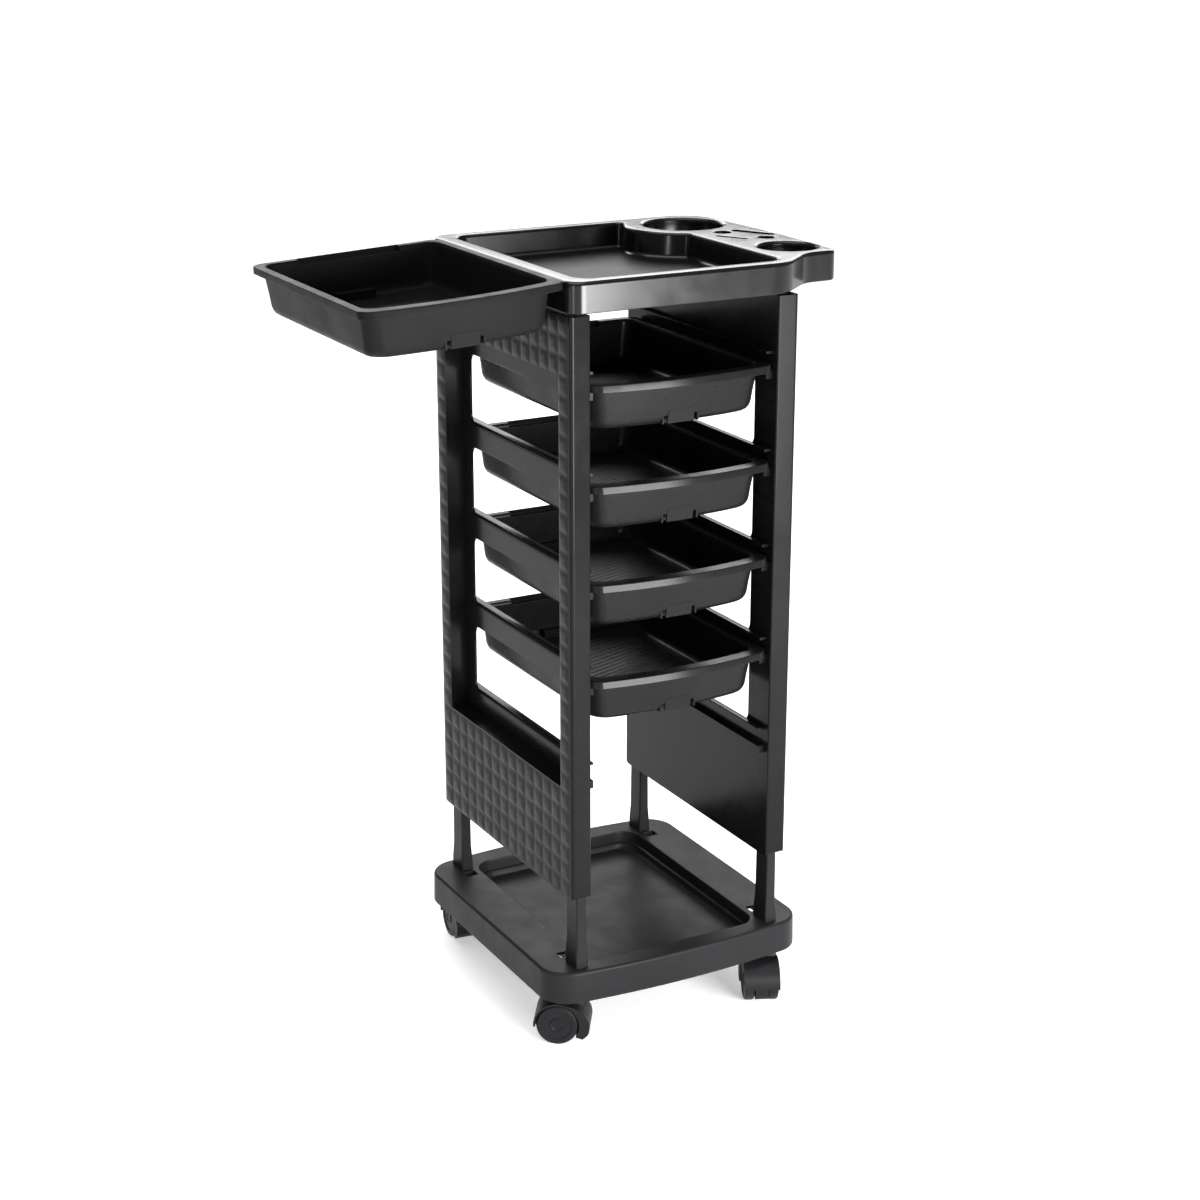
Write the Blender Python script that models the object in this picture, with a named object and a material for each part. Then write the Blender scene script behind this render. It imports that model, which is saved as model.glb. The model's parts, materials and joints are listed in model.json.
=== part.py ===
"""Rolling salon trolley: moulded top with a tool wing, two side panels with tray runners, four
legs, a moulded base, five identical trays (four on the runners, one hung beside the top) and four
twin-wheel casters.

Units are metres, +Z up, -Y is the front that the trays pull out of. All sizes are given about the
middle of the frame; ORIGIN_X and ORIGIN_Y move the model so that its own origin lies under the
middle of the whole trolley's box, on the floor.
"""
import math

import bmesh
import bpy
from mathutils import Matrix, Vector

# ---- Driving dimensions ---------------------------------------------------------------------
TOP_Z = 0.870                 # working height: the rim of the top
SKIRT_HEIGHT = 0.033          # depth of the skirt round the top
FRAME_WIDTH = 0.281           # over the two side panels
FRAME_DEPTH = 0.334           # over the front and back stiles
PANEL_BOTTOM_Z = 0.182        # lower edge of the side panels
SKIRT_GAP = 0.003             # shadow gap between the stiles and the skirt
WALL = 0.0025                 # wall of the mouldings
GAP = 0.0003                  # air between pieces that touch

# Top
TOP_LEFT = -0.1395
TOP_FRONT = -0.170
TOP_BACK = 0.176
WING_RIGHT = 0.2155
WING_BOW = 0.004
WING_FRONT = -0.1275
WING_BEND = (0.122, 0.172)              # where the front turns towards the wing, and back
RECESS_LEFT = -0.118
RECESS_RIGHT = 0.128
RECESS_FRONT = -0.151
RECESS_BACK = 0.158
RECESS_DEPTH = 0.028
BIG_HOLE = (0.1575, 0.112, 0.047)       # x, y, radius
SMALL_HOLE = (0.1790, -0.079, 0.033)
BULGE_RADIUS = 0.070                    # the recess wall round the big hole
TOOL_HOLES = ((0.1665, 0.0375, 0.010), (0.1910, -0.0165, 0.010))
COMB_SLOT = (0.1565, 0.0010, 0.0030, 0.021)       # x, y, half width, half length
SCISSOR_SLOT = (0.1970, 0.0210, 0.0055, 0.028)
SLOT_TURN = math.radians(28)            # both slots lean to the left at their back end
CORNER_RADIUS = 0.018                   # front corners of the top and corners of the recess
HOOKS_Y = (-0.090, 0.080)               # middles of the two hooks for the side tray
HOOK_HALF = 0.012                       # half length of a hook along the top's edge
HOOK_REACH = 0.0075                     # how far a hook stands out from the skirt
HOOK_DROP = 0.0125                      # underside of a hook below the rim
HOOK_WALL = 0.002

# Side panels
STILE_WIDTH = 0.0239          # across the front
STILE_DEPTH = 0.027           # along the side
RUNNER_PLATE = 0.0025         # the plate inside the stiles that carries the runners
WINDOW_HALF = 0.1205          # half depth of the windows between the runners
LOWER_PANEL_TOP = 0.3105
UPPER_PANEL_BOTTOM = 0.771
RUNNER_TOP_Z = 0.7729         # top of the highest runner
RUNNER_PITCH = 0.1086
RUNNER_COUNT = 5
RUNNER_HEIGHT = 0.0305
RUNNER_INNER = 0.1060         # half distance between facing runners
RUNNER_LIP = 0.003
RUNNER_HALF_LENGTH = 0.155
TRAY_DROP = 0.0135            # tray rim below the runner's top
PEG_X = (0.1260, 0.1300)      # pegs on the stiles that locate the top, inner and outer face
PEG_Y = (0.1545, 0.1595)
CORNER_CUT = 0.010            # rounding of the panel's and the windows' corners

# Trays
TRAY_HALF_WIDTH = 0.1125
TRAY_FRONT = -0.163
TRAY_BACK = 0.147
TRAY_BOW = 0.012
TRAY_LIP = 0.008
TRAY_DEPTH = 0.0530
TRAY_RIM_WALL = 0.002
FINGER_HALF = 0.060           # half length of the finger dip in the back rim
FINGER_DIP = 0.0060           # how far the rim's flange steps down there
POCKET_HALF = 0.0205          # half width of the pocket behind a release tab
POCKET_DEPTH = 0.0120
POCKET_TOP = -0.0430
TAB_HALF = 0.0160
TAB_LOW = -0.0520
TAB_WALLS = (                 # outer face at the tab's top, its lean inwards, the way inwards
    ("front", -0.1567, 0.0020, 1),
    ("back", 0.1370, 0.0010, -1),
)
SIDE_TRAY_GAP = 0.0015
SIDE_TRAY_SAG = math.radians(3.0)
SIDE_TRAY_Z = TOP_Z + 0.001

# Legs and base
LEG_OUTER = 0.1305            # outer face of a leg
LEG_END = 0.1617              # front or back face of a leg
LEG_SIZE = (0.012, 0.025)
LEG_FLARE = 0.0015
LEG_FOOT_Z = 0.0835           # the foot stands on the caster's socket
SPIGOT_X = (0.1215, 0.1337)   # the leg's end inside the hollow stile
SPIGOT_Y = (0.1475, 0.1625)
SPIGOT_LENGTH = 0.060
BASE_TOP_Z = 0.097
BASE_BOTTOM_Z = 0.060
BASE_HALF_WIDTH = 0.1655
BASE_HALF_DEPTH = 0.168
BASE_BOW = 0.012
BASE_FLOOR_Z = 0.0755
BASE_CORNER = 0.030
SUNK_HALF_WIDTH = 0.111       # the sunk floor's edge at the rim
SUNK_FRONT = -0.153
SUNK_BACK = 0.148
SUNK_CORNER = 0.022
BLOCK_X = (0.1115, 0.1345)    # corner block that holds a leg's foot and a caster's stem
BLOCK_Y = (0.1320, 0.1662)
LATCH_X = (0.1185, 0.1335)    # release slot beside a leg
LATCH_Y = (0.1165, 0.1300)

# Casters
CASTER_X = 0.1215
CASTER_Y = 0.1420
STEM_BOTTOM_Z = 0.034
STEM_TOP_Z = 0.0795
STEM_RADIUS = 0.0040
GRIP_RADIUS = 0.0048
GRIP_Z = (0.062, 0.078)
AXLE_RADIUS = 0.0030
AXLE_HALF = 0.0180
TRAIL = 0.020
WHEEL_RADIUS = 0.024
WHEEL_INNER = 0.0088
WHEEL_OUTER = 0.0203
BOSS_RADIUS = 0.0083
BOSS_TOP_Z = 0.0550
WEB_HALF_WIDTH = 0.0075
HOOD_RADIUS = 0.0272
HOOD_INNER = 0.0250
HOOD_HALF_WIDTH = 0.021
CASTERS = {                   # side, end, heading of the trailing wheels in degrees
    "front_left": (-1, -1, 147.0),
    "front_right": (1, -1, -115.0),
    "back_left": (-1, 1, 84.0),
    "back_right": (1, 1, 40.0),
}

# ---- Where the model's own origin lies ------------------------------------------------------
LEFT_REACH = TOP_LEFT - SIDE_TRAY_GAP - 2 * TRAY_HALF_WIDTH * math.cos(SIDE_TRAY_SAG)
RIGHT_REACH = WING_RIGHT + WING_BOW
ORIGIN_X = (LEFT_REACH + RIGHT_REACH) / 2


def caster_reach(label):
    """How far the hood of a caster that trails outwards reaches from the frame's middle, along Y."""
    heading = math.radians(CASTERS[label][2])
    return (CASTER_Y + (TRAIL + HOOD_RADIUS) * abs(math.sin(heading))
            + HOOD_HALF_WIDTH * abs(math.cos(heading)))


ORIGIN_Y = (caster_reach("back_left") - caster_reach("front_right")) / 2


# ---- Outlines -------------------------------------------------------------------------------
def arc(centre, radius, start, end, steps):
    """Points on an arc, from start to end in radians, both ends included."""
    angles = [start + (end - start) * i / steps for i in range(steps + 1)]
    return [(centre[0] + radius * math.cos(a), centre[1] + radius * math.sin(a)) for a in angles]


def rounded(corners, steps=4):
    """A closed outline from (x, y, radius) corners, each filleted with its radius."""
    outline = []
    for i, (x, y, radius) in enumerate(corners):
        corner = Vector((x, y))
        if radius == 0:
            outline.append((x, y))
            continue
        to_last = (Vector(corners[i - 1][:2]) - corner).normalized()
        to_next = (Vector(corners[(i + 1) % len(corners)][:2]) - corner).normalized()
        half = to_last.angle(to_next) / 2
        centre = corner + (to_last + to_next).normalized() * (radius / math.sin(half))
        first = corner + to_last * (radius / math.tan(half)) - centre
        last = corner + to_next * (radius / math.tan(half)) - centre
        start = math.atan2(first.y, first.x)
        turn = math.atan2(last.y, last.x) - start
        turn = (turn + math.pi) % (2 * math.pi) - math.pi
        outline += arc(centre, radius, start, start + turn, steps)
    return outline


def rectangle(x0, x1, y0, y1, radius=0.0, steps=3):
    """A rounded rectangle."""
    return rounded([(x0, y0, radius), (x1, y0, radius), (x1, y1, radius), (x0, y1, radius)], steps)


def tub_ring(half_width, front, back, radius, z, bow=0.0, back_bow=0.0, steps=3, side_points=3):
    """A rounded rectangle whose front and back edges may be bowed outwards, as 3-D points."""
    corners = rectangle(-half_width, half_width, front, back, radius, steps)
    per_corner = steps + 1
    points = []
    for corner in range(4):
        points += corners[corner * per_corner:(corner + 1) * per_corner]
        if corner in (0, 2):
            start = corners[(corner + 1) * per_corner - 1]
            end = corners[((corner + 1) * per_corner) % len(corners)]
            for i in range(1, side_points + 1):
                share = i / (side_points + 1)
                points.append((start[0] + (end[0] - start[0]) * share, start[1]))
    middle = (front + back) / 2
    ring = []
    for x, y in points:
        crown = 1 - (x / half_width) ** 2
        if y < middle:
            y -= bow * crown * (middle - y) / (middle - front)
        else:
            y += back_bow * crown * (y - middle) / (back - middle)
        ring.append((x, y, z))
    return ring


# ---- Solids ---------------------------------------------------------------------------------
def finish_mesh(name, bm):
    """Turn a bmesh into a mesh whose faces point out."""
    bmesh.ops.recalc_face_normals(bm, faces=bm.faces)
    mesh = bpy.data.meshes.new(name)
    bm.to_mesh(mesh)
    bm.free()
    return mesh


def loft(name, rings):
    """Skin through rings of equal length, closed by a flat face at each end."""
    bm = bmesh.new()
    loops = [[bm.verts.new(point) for point in ring] for ring in rings]
    for lower, upper in zip(loops, loops[1:]):
        for i in range(len(lower)):
            j = (i + 1) % len(lower)
            bm.faces.new((lower[i], lower[j], upper[j], upper[i]))
    bm.faces.new(loops[0])
    bm.faces.new(loops[-1])
    return finish_mesh(name, bm)


def prism(name, outline, low, high, axis="Z"):
    """An outline in the plane across an axis, extruded from low to high along it."""
    if axis == "Z":
        rings = [[(a, b, h) for a, b in outline] for h in (low, high)]
    elif axis == "Y":
        rings = [[(a, h, b) for a, b in outline] for h in (low, high)]
    else:
        rings = [[(h, a, b) for a, b in outline] for h in (low, high)]
    return loft(name, rings)


def box(name, x0, x1, y0, y1, z0, z1):
    """A box between two corners."""
    x0, x1 = sorted((x0, x1))
    y0, y1 = sorted((y0, y1))
    return prism(name, [(x0, y0), (x1, y0), (x1, y1), (x0, y1)], z0, z1)


def cylinder(name, x, y, radius, z0, z1, steps=24):
    """An upright round bar."""
    return prism(name, arc((x, y), radius, 0, 2 * math.pi, steps)[:-1], z0, z1)


def turned(name, profile, steps=24):
    """A solid of revolution about the local Y axis, from (radius, y) points; the first and last
    points lie on the axis."""
    bm = bmesh.new()
    ends = [bm.verts.new((0, profile[0][1], 0)), bm.verts.new((0, profile[-1][1], 0))]
    loops = []
    for radius, y in profile[1:-1]:
        loops.append([bm.verts.new((a, y, b)) for a, b in
                      arc((0, 0), radius, 0, 2 * math.pi, steps)[:-1]])
    for i in range(steps):
        j = (i + 1) % steps
        for lower, upper in zip(loops, loops[1:]):
            bm.faces.new((lower[i], lower[j], upper[j], upper[i]))
        bm.faces.new((ends[0], loops[0][j], loops[0][i]))
        bm.faces.new((ends[1], loops[-1][i], loops[-1][j]))
    return finish_mesh(name, bm)


# ---- Objects --------------------------------------------------------------------------------
def material(name, colour, roughness, metallic=0.0):
    """A plain Principled material."""
    made = bpy.data.materials.new(name)
    made.use_nodes = True
    shader = made.node_tree.nodes["Principled BSDF"]
    shader.inputs["Base Color"].default_value = (*colour, 1.0)
    shader.inputs["Roughness"].default_value = roughness
    shader.inputs["Metallic"].default_value = metallic
    return made


def add(name, mesh, finish, place=(0, 0, 0), parent=None):
    """Put a mesh into the scene as one named piece, at a place given about the frame's middle."""
    mesh.materials.clear()
    mesh.materials.append(finish)
    piece = bpy.data.objects.new(name, mesh)
    bpy.context.scene.collection.objects.link(piece)
    if parent is None:
        piece.location = Vector(place) - Vector((ORIGIN_X, ORIGIN_Y, 0))
    else:
        piece.parent = parent
        piece.location = place
    return piece


def tool(name, mesh, like):
    """A hidden helper for a Boolean, in the same place as the piece it shapes."""
    helper = bpy.data.objects.new(name, mesh)
    bpy.context.scene.collection.objects.link(helper)
    helper.location = like.location
    helper.rotation_euler = like.rotation_euler
    helper.parent = like.parent
    helper.hide_render = True
    helper.display_type = "WIRE"
    return helper


def shape(piece, operation, meshes):
    """Add to a piece, or cut from it, with one exact Boolean for each mesh."""
    for mesh in meshes:
        step = piece.modifiers.new(mesh.name, "BOOLEAN")
        step.operation = operation
        step.solver = "EXACT"
        step.object = tool("tool_" + mesh.name, mesh, piece)


def empty(name, place, turn=0.0):
    """An empty that carries a group of pieces, turned about Z."""
    carrier = bpy.data.objects.new(name, None)
    bpy.context.scene.collection.objects.link(carrier)
    carrier.location = Vector(place) - Vector((ORIGIN_X, ORIGIN_Y, 0))
    carrier.rotation_euler = (0, 0, turn)
    return carrier


# ---- Top ------------------------------------------------------------------------------------
def top_outline(inset=0.0):
    """The top seen from above: straight front, an S-curve to the wing, a bowed right side."""
    corners = [
        (TOP_LEFT + inset, TOP_FRONT + inset, CORNER_RADIUS),
        (WING_BEND[0], TOP_FRONT + inset, 0.050),
        (WING_BEND[1], WING_FRONT + inset, 0.040),
        (WING_RIGHT - inset, WING_FRONT + inset, 0.014),
    ]
    low, high = -0.095, 0.105
    for i in range(5):
        share = i / 4
        crown = 1 - (2 * share - 1) ** 2
        corners.append((WING_RIGHT - inset + WING_BOW * crown, low + (high - low) * share, 0))
    corners.append((WING_RIGHT - 0.003 - inset, TOP_BACK - inset, 0.045))
    corners.append((TOP_LEFT + inset, TOP_BACK - inset, 0.022))
    return rounded(corners)


def recess_outline(grow=0.0):
    """The recess of the top, with the wall that curves round the big hole."""
    left, right = RECESS_LEFT - grow, RECESS_RIGHT + grow
    front, back = RECESS_FRONT - grow, RECESS_BACK + grow
    x, y = BIG_HOLE[:2]
    radius = BULGE_RADIUS - grow
    first = math.atan2(-math.sqrt(radius ** 2 - (right - x) ** 2), right - x) + 2 * math.pi
    last = math.atan2(back - y, -math.sqrt(radius ** 2 - (back - y) ** 2))
    bulge = [(px, py, 0) for px, py in arc((x, y), radius, first, last, 8)]
    corners = [(left, front, CORNER_RADIUS), (right, front, CORNER_RADIUS)]
    return rounded(corners + bulge + [(left, back, CORNER_RADIUS)])


def capsule(x, y, half_width, half_length, turn):
    """A slot with round ends, along Y, turned about its own middle."""
    reach = half_length - half_width
    outline = (arc((0, -reach), half_width, math.pi, 2 * math.pi, 5)
               + arc((0, reach), half_width, 0, math.pi, 5))
    cos, sin = math.cos(turn), math.sin(turn)
    return [(x + a * cos - b * sin, y + a * sin + b * cos) for a, b in outline]


def build_top(finish):
    """The top: one moulding with a skirt, a recess, two ringed holes, tool slots and tray hooks."""
    under = TOP_Z - WALL
    skirt_bottom = TOP_Z - SKIRT_HEIGHT
    floor = TOP_Z - RECESS_DEPTH
    overlap = 0.001
    top = add("top_tray", prism("top", top_outline(), skirt_bottom, TOP_Z), finish)
    shape(top, "DIFFERENCE", [prism("top_inside", top_outline(WALL), skirt_bottom - 0.01, under)])
    shape(top, "UNION", [prism("top_recess_wall", recess_outline(WALL), floor - WALL,
                               TOP_Z - overlap)])
    for label, (x, y, radius) in (("big", BIG_HOLE), ("small", SMALL_HOLE)):
        shape(top, "UNION", [cylinder(label + "_ring", x, y, radius + WALL, floor, under + overlap)])
    reach, hook_z = TOP_LEFT - HOOK_REACH, TOP_Z - HOOK_DROP
    for i, y in enumerate(HOOKS_Y):
        shelf = box(f"hook_shelf_{i}", reach, TOP_LEFT + WALL / 2, y - HOOK_HALF, y + HOOK_HALF,
                    hook_z, hook_z + HOOK_WALL)
        tongue = box(f"hook_tongue_{i}", reach, reach + HOOK_WALL, y - HOOK_HALF, y + HOOK_HALF,
                     hook_z + HOOK_WALL / 4, TOP_Z - HOOK_REACH + WALL)
        shape(top, "UNION", [shelf, tongue])
    cuts = [prism("recess_cut", recess_outline(), floor, TOP_Z + 0.01)]
    for i, (x, y, radius) in enumerate((BIG_HOLE, SMALL_HOLE) + TOOL_HOLES):
        cuts.append(cylinder(f"hole_{i}", x, y, radius, skirt_bottom - 0.01, TOP_Z + 0.01))
    for i, slot in enumerate((COMB_SLOT, SCISSOR_SLOT)):
        cuts.append(prism(f"slot_{i}", capsule(*slot, SLOT_TURN), under - 0.01, TOP_Z + 0.01))
    shape(top, "DIFFERENCE", cuts)


# ---- Side panels ----------------------------------------------------------------------------
def runner_tops():
    """The height of each runner's top, from the highest down."""
    return [RUNNER_TOP_Z - RUNNER_PITCH * i for i in range(RUNNER_COUNT)]


def build_side_panel(name, side, finish):
    """One side moulding: two hollow stiles, an upper and a lower panel, and five runners."""
    outer = side * FRAME_WIDTH / 2
    inner = outer - side * STILE_WIDTH
    plate_in = inner - side * RUNNER_PLATE
    end = FRAME_DEPTH / 2
    stile_top = TOP_Z - SKIRT_HEIGHT - SKIRT_GAP
    low, high = sorted((outer, inner))
    outline = rounded([(-end, PANEL_BOTTOM_Z, CORNER_CUT), (end, PANEL_BOTTOM_Z, CORNER_CUT),
                       (end, stile_top, 0.004), (-end, stile_top, 0.004)])
    panel = add(name, prism(name + "_slab", outline, low, high, "X"), finish)

    low, high = sorted((inner + side * 0.002, plate_in))
    plate = rectangle(-end + 0.005, end - 0.005, PANEL_BOTTOM_Z + 0.012, stile_top - 0.020, 0.004)
    added = [prism(name + "_plate", plate, low, high, "X")]
    for i, top in enumerate(runner_tops()):
        ledge_top = top - TRAY_DROP - TRAY_LIP - GAP
        for part, z0, z1 in (("lip", top - RUNNER_LIP, top),
                             ("ledge", top - RUNNER_HEIGHT, ledge_top)):
            added.append(box(f"{name}_{part}_{i}", side * RUNNER_INNER, plate_in + side * 0.001,
                             -RUNNER_HALF_LENGTH, RUNNER_HALF_LENGTH, z0, z1))
    for label, way in (("front", -1), ("back", 1)):
        added.append(box(f"{name}_peg_{label}", side * PEG_X[0], side * PEG_X[1], way * PEG_Y[0],
                         way * PEG_Y[1], stile_top - 0.012, TOP_Z - WALL - GAP))
    hollow_out, hollow_in = outer - side * WALL, inner + side * 0.0030
    low, high = sorted((outer + side * 0.001, inner))
    window = rectangle(-end + STILE_DEPTH, end - STILE_DEPTH, LOWER_PANEL_TOP, UPPER_PANEL_BOTTOM,
                       0.006)
    cuts = [prism(name + "_window", window, low, high, "X")]
    low, high = sorted((outer + side * 0.001, plate_in - side * 0.001))
    tops = runner_tops()
    for i in range(RUNNER_COUNT - 1):
        opening = rectangle(-WINDOW_HALF, WINDOW_HALF, tops[i + 1], tops[i] - RUNNER_HEIGHT,
                            CORNER_CUT)
        cuts.append(prism(f"{name}_opening_{i}", opening, low, high, "X"))
    inside = end - STILE_DEPTH - 0.003
    cuts.append(box(name + "_lower_hollow", hollow_out, hollow_in, -inside, inside,
                    PANEL_BOTTOM_Z - 0.002, LOWER_PANEL_TOP - WALL))
    cuts.append(box(name + "_upper_hollow", hollow_out, hollow_in, -inside, inside,
                    UPPER_PANEL_BOTTOM + WALL, stile_top + 0.002))
    for label, y0, y1 in (("front", -end + WALL, -end + STILE_DEPTH - WALL),
                          ("back", end - STILE_DEPTH + WALL, end - WALL)):
        cuts.append(box(f"{name}_stile_{label}", hollow_out, hollow_in, y0, y1,
                        PANEL_BOTTOM_Z - 0.002, stile_top - 0.010))
    shape(panel, "UNION", added)
    shape(panel, "DIFFERENCE", cuts)


# ---- Legs -----------------------------------------------------------------------------------
def leg_section(side, end, grow=0.0):
    """The blade-like section of a leg as x and y limits."""
    x_out = side * (LEG_OUTER + grow)
    x_in = side * (LEG_OUTER - LEG_SIZE[0] - grow)
    y_out = end * (LEG_END + grow)
    y_in = end * (LEG_END - LEG_SIZE[1] - grow)
    return (*sorted((x_out, x_in)), *sorted((y_out, y_in)))


def build_leg(name, side, end, finish):
    """A leg: a spigot up into the stile, a blade that flares downwards, a foot in the base."""
    step = 0.0005
    spigot = (*sorted((side * SPIGOT_X[0], side * SPIGOT_X[1])),
              *sorted((end * SPIGOT_Y[0], end * SPIGOT_Y[1])))
    blade = leg_section(side, end)
    foot = leg_section(side, end, LEG_FLARE)
    stations = ((PANEL_BOTTOM_Z + SPIGOT_LENGTH, spigot), (PANEL_BOTTOM_Z - GAP, spigot),
                (PANEL_BOTTOM_Z - GAP - step, blade), (BASE_TOP_Z + 0.010, foot),
                (LEG_FOOT_Z, foot))
    rings = []
    for z, (x0, x1, y0, y1) in stations:
        rings.append([(x, y, z) for x, y in rectangle(x0, x1, y0, y1, 0.002, 2)])
    add(name, loft(name, rings), finish)


# ---- Base -----------------------------------------------------------------------------------
def build_base(finish):
    """The base: a bowed skirt, a flat rim and a sunk floor, with sockets under the corners."""
    wide, deep = BASE_HALF_WIDTH, BASE_HALF_DEPTH

    def ring(inset, z):
        return tub_ring(wide - inset, -deep + inset, deep - inset,
                        BASE_CORNER - min(inset, 0.01), z, BASE_BOW, BASE_BOW)

    def sunk(inset, z):
        return tub_ring(SUNK_HALF_WIDTH - inset, SUNK_FRONT + inset, SUNK_BACK - inset,
                        SUNK_CORNER, z)

    rings = [sunk(0.004, BASE_FLOOR_Z), sunk(0.002, BASE_FLOOR_Z + 0.003), sunk(0, BASE_TOP_Z),
             ring(0.0025, BASE_TOP_Z), ring(0.001, BASE_TOP_Z - 0.002), ring(0, BASE_BOTTOM_Z),
             ring(WALL, BASE_BOTTOM_Z), ring(0.001 + WALL, BASE_TOP_Z - WALL),
             sunk(-WALL, BASE_TOP_Z - WALL), sunk(-WALL + 0.002, BASE_FLOOR_Z - WALL)]
    base = add("base_tray", loft("base", rings), finish)
    under = BASE_TOP_Z - WALL
    sockets, holes = [], []
    for label, (side, end, _heading) in CASTERS.items():
        x0, x1, y0, y1 = leg_section(side, end, LEG_FLARE + GAP)
        sockets.append(box(label + "_block", side * BLOCK_X[0], side * BLOCK_X[1],
                           end * BLOCK_Y[0], end * BLOCK_Y[1], BASE_BOTTOM_Z + 0.001,
                           under + 0.001))
        holes.append(cylinder(label + "_bore", side * CASTER_X, end * CASTER_Y, GRIP_RADIUS + GAP,
                              BASE_BOTTOM_Z - 0.001, STEM_TOP_Z + 0.0005, 16))
        holes.append(box(label + "_leg_hole", x0, x1, y0, y1, LEG_FOOT_Z - GAP,
                         BASE_TOP_Z + 0.001))
        holes.append(box(label + "_latch_slot", side * LATCH_X[0], side * LATCH_X[1],
                         end * LATCH_Y[0], end * LATCH_Y[1], under - 0.002,
                         BASE_TOP_Z + 0.001))
    shape(base, "UNION", sockets)
    shape(base, "DIFFERENCE", holes)


# ---- Trays ----------------------------------------------------------------------------------
def tray_mesh():
    """A tray, its rim at z = 0: a tub with an inverted channel round its edge, a finger dip in
    the back rim, and a release tab over a pocket at the foot of the front and the back."""
    half, front, back = TRAY_HALF_WIDTH, TRAY_FRONT, TRAY_BACK
    lip = TRAY_RIM_WALL

    def ring(side_in, front_in, back_in, radius, z, bow=TRAY_BOW):
        return tub_ring(half - side_in, front + front_in, back - back_in, radius, z, bow)

    rings = [
        ring(0.0245, 0.0295, 0.0225, 0.014, -0.0505, 0.008),
        ring(0.0175, 0.0225, 0.0155, 0.015, -0.0485, 0.009),
        ring(0.0150, 0.0200, 0.0130, 0.014, -0.0430, 0.009),
        ring(0.0102, 0.0150, 0.0105, 0.013, 0.0),
        ring(0.0005, 0.0005, 0.0005, 0.014, 0.0),
        ring(0.0, 0.0, 0.0, 0.014, -0.0006),
        ring(0.0, -0.0015, 0.0, 0.014, -TRAY_LIP),
        ring(lip, lip, lip, 0.012, -TRAY_LIP),
        ring(lip, lip, lip, 0.012, -WALL),
        ring(0.0079, 0.0125, 0.0080, 0.015, -WALL),
        ring(0.0125, 0.0175, 0.0105, 0.016, -0.0430, 0.010),
        ring(0.0150, 0.0200, 0.0130, 0.017, -0.0500, 0.009),
        ring(0.0215, 0.0265, 0.0195, 0.016, -TRAY_DEPTH, 0.008),
    ]
    raw = bpy.data.objects.new("tray_raw", loft("tray", rings))
    bpy.context.scene.collection.objects.link(raw)
    reach = FINGER_HALF + lip
    shape(raw, "UNION", [box("finger_step", -reach, reach, back - 0.0100, back - lip / 2,
                             -TRAY_LIP, -WALL / 2)])
    shape(raw, "DIFFERENCE", [box("finger_dip", -FINGER_HALF, FINGER_HALF, back - 0.0170,
                                  back - lip, -FINGER_DIP, 0.001)])
    for label, wall, lean, way in TAB_WALLS:
        far = wall + way * POCKET_DEPTH
        tab_top = POCKET_TOP + 0.0055
        slope = [(wall, tab_top), (wall + way * lean, TAB_LOW),
                 (wall + way * (lean + lip), TAB_LOW), (wall + way * lip, tab_top)]
        bump = box(label + "_bump", -POCKET_HALF - lip, POCKET_HALF + lip, wall + way * lip,
                   far + way * lip, -TRAY_DEPTH + 0.001, POCKET_TOP + lip)
        pocket = box(label + "_pocket", -POCKET_HALF, POCKET_HALF, wall - way * lip, far,
                     -TRAY_DEPTH - 0.001, POCKET_TOP)
        shape(raw, "UNION", [bump])
        shape(raw, "DIFFERENCE", [pocket])
        shape(raw, "UNION", [prism(label + "_tab", slope, -TAB_HALF, TAB_HALF, "X")])
    graph = bpy.context.evaluated_depsgraph_get()
    mesh = bpy.data.meshes.new_from_object(raw.evaluated_get(graph))
    for spare in [raw] + [step.object for step in raw.modifiers]:
        bpy.data.objects.remove(spare)
    return mesh


def build_trays(finish):
    """Four trays on the runners and one hung by its rim on the hooks of the top."""
    mesh = tray_mesh()
    for i, top in enumerate(runner_tops()[:4]):
        add(f"tray_{i + 1}", mesh.copy(), finish, (0, 0, top - TRAY_DROP))
    side_tray = mesh.copy()
    hang = Matrix.Translation((-TRAY_HALF_WIDTH, 0, 0))
    side_tray.transform(Matrix.Rotation(-SIDE_TRAY_SAG, 4, "Y") @ hang)
    add("side_tray", side_tray, finish, (TOP_LEFT - SIDE_TRAY_GAP, 0, SIDE_TRAY_Z))


# ---- Casters --------------------------------------------------------------------------------
def hood_side():
    """The hood seen from the side: a shell over the wheels that swells round the stem."""
    x, z = TRAIL, WHEEL_RADIUS
    over_wheels = arc((x, z), HOOD_RADIUS, math.radians(-4), math.radians(112), 9)
    swell = [(x - 0.0200, z + 0.0228), (x - 0.0290, z + 0.0165), (x - 0.0355, z + 0.0070),
             (x - 0.0370, z - 0.0030), (x - 0.0345, z - 0.0110), (x - 0.0290, z - 0.0160)]
    return over_wheels + swell + arc((x, z), HOOD_INNER, math.radians(213), math.radians(-4), 18)


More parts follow.
